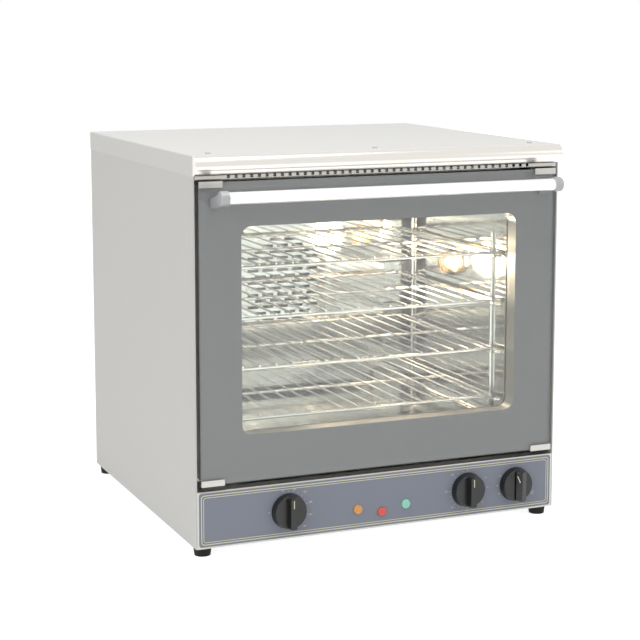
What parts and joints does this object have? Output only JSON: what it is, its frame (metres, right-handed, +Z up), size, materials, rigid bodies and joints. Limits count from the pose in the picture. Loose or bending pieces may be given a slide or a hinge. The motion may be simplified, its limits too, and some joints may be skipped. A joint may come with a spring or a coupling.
{
  "type": "convection oven",
  "caption": "Countertop convection oven with a drop-down glass door, wire shelves, rotary controls and a rear fan.",
  "frame": {"origin": "centre of the outer box in X and Y, at the height of the surface that the feet stand on", "axes": "+Z up, +Y to the back, where the cable leaves, +X to the right of someone who faces the door"},
  "size_m": [0.595, 0.61, 0.592],
  "materials": {
    "casing_paint": "satin light grey enamel on sheet steel",
    "top_steel": "satin white-grey enamel on sheet steel",
    "polished_trim": "polished rolled steel",
    "zinc_steel": "zinc-coated sheet steel",
    "inner_steel": "bright stainless steel",
    "chrome_wire": "chromium-plated steel wire",
    "panel_steel": "satin stainless steel",
    "overlay_film": "printed blue-grey film",
    "door_glass": "toughened glass with a printed grey border",
    "inner_glass": "clear toughened glass",
    "lamp_cover": "ribbed heat-resisting glass",
    "bulb_glass": "clear bulb",
    "ceramic_white": "white ceramic",
    "handle_metal": "satin anodised aluminium tube",
    "bracket_metal": "cast light grey metal",
    "clip_steel": "stainless steel",
    "knob_black": "black moulded plastic",
    "rubber_black": "black rubber",
    "gasket_rubber": "dark silicone rubber",
    "element_metal": "dark oxidised steel tube",
    "fan_metal": "aluminised sheet",
    "motor_metal": "laminated iron and coil",
    "shaft_steel": "turned steel",
    "mat_fibre": "glass-fibre mat",
    "switch_plastic": "moulded switch housing",
    "gland_plastic": "black nylon",
    "block_plastic": "white terminal plastic",
    "probe_copper": "copper-alloy probe",
    "amber_lens": "translucent amber lens",
    "red_lens": "translucent red lens",
    "green_lens": "translucent green lens",
    "screw_steel": "zinc-plated steel screws"
  },
  "bodies": {
    "housing": {"base_pan": "zinc_steel", "left_side_panel": "casing_paint", "right_side_panel": "casing_paint", "top_cover": "top_steel", "front_trim": "polished_trim", "vent_strip": "panel_steel", "control_fascia": "panel_steel", "fascia_overlay": "overlay_film", "front_frame": "inner_steel", "cavity_liner": "inner_steel", "fan_baffle": "inner_steel", "baffle_standoffs": "shaft_steel", "fan_motor": "motor_metal", "ring_element": "element_metal", "grill_element": "element_metal", "base_element": "element_metal", "insulation": "mat_fibre", "lamp_glass": "lamp_cover", "lamp_holder": "ceramic_white", "lamp_bulb": "bulb_glass", "left_shelf_support": "chrome_wire", "right_shelf_support": "chrome_wire", "hinge_brackets": "shaft_steel", "hinge_pins": "shaft_steel", "thermostat_body": "switch_plastic", "timer_body": "switch_plastic", "selector_body": "switch_plastic", "amber_lamp": "amber_lens", "red_lamp": "red_lens", "green_lamp": "green_lens", "feet": "rubber_black", "rear_panel": "zinc_steel", "rear_cover": "zinc_steel", "cable_gland": "gland_plastic", "terminal_block": "block_plastic", "thermostat_probe": "probe_copper", "safety_cutout": "switch_plastic", "top_screws": "screw_steel", "rear_screws": "screw_steel"},
    "door": {"door_outer_glass": "door_glass", "door_frame": "panel_steel", "door_inner_glass": "inner_glass", "door_gasket": "gasket_rubber", "glass_clips": "clip_steel", "handle_tube": "handle_metal", "handle_brackets": "bracket_metal", "hinge_leaves": "zinc_steel"},
    "shelf_1": {"shelf_1": "chrome_wire"},
    "shelf_2": {"shelf_2": "chrome_wire"},
    "shelf_3": {"shelf_3": "chrome_wire"},
    "shelf_4": {"shelf_4": "chrome_wire"},
    "thermostat_control": {"thermostat_knob": "knob_black", "thermostat_shaft": "shaft_steel"},
    "timer_control": {"timer_knob": "knob_black", "timer_shaft": "shaft_steel"},
    "selector_control": {"selector_knob": "knob_black", "selector_shaft": "shaft_steel"},
    "fan": {"fan_impeller": "fan_metal", "motor_shaft": "shaft_steel"}
  },
  "joints": [
    {"name": "door_hinge", "type": "hinge", "parent": "housing", "child": "door", "pos_m": [0, -0.238, 0.119], "axis": [1, 0, 0], "range_deg": [0, 90], "stiffness_Nm_per_rad": 5, "springref_deg": -34.38},
    {"name": "shelf_1_slide", "type": "slide", "parent": "housing", "child": "shelf_1", "axis": [0, -1, 0], "range_m": [0, 0.02]},
    {"name": "shelf_2_slide", "type": "slide", "parent": "housing", "child": "shelf_2", "axis": [0, -1, 0], "range_m": [0, 0.02]},
    {"name": "shelf_3_slide", "type": "slide", "parent": "housing", "child": "shelf_3", "axis": [0, -1, 0], "range_m": [0, 0.02]},
    {"name": "shelf_4_slide", "type": "slide", "parent": "housing", "child": "shelf_4", "axis": [0, -1, 0], "range_m": [0, 0.02]},
    {"name": "thermostat_turn", "type": "hinge", "parent": "housing", "child": "thermostat_control", "pos_m": [-0.153, -0.246, 0.057], "axis": [0, 1, 0], "range_deg": [0, 270]},
    {"name": "timer_turn", "type": "hinge", "parent": "housing", "child": "timer_control", "pos_m": [0.146, -0.246, 0.057], "axis": [0, 1, 0], "range_deg": [0, 300]},
    {"name": "selector_turn", "type": "hinge", "parent": "housing", "child": "selector_control", "pos_m": [0.23, -0.246, 0.057], "axis": [0, 1, 0], "range_deg": [0, 180]},
    {"name": "fan_spin", "type": "hinge", "parent": "housing", "child": "fan", "pos_m": [0, 0.2, 0.334], "axis": [0, 1, 0], "continuous": true}
  ]
}
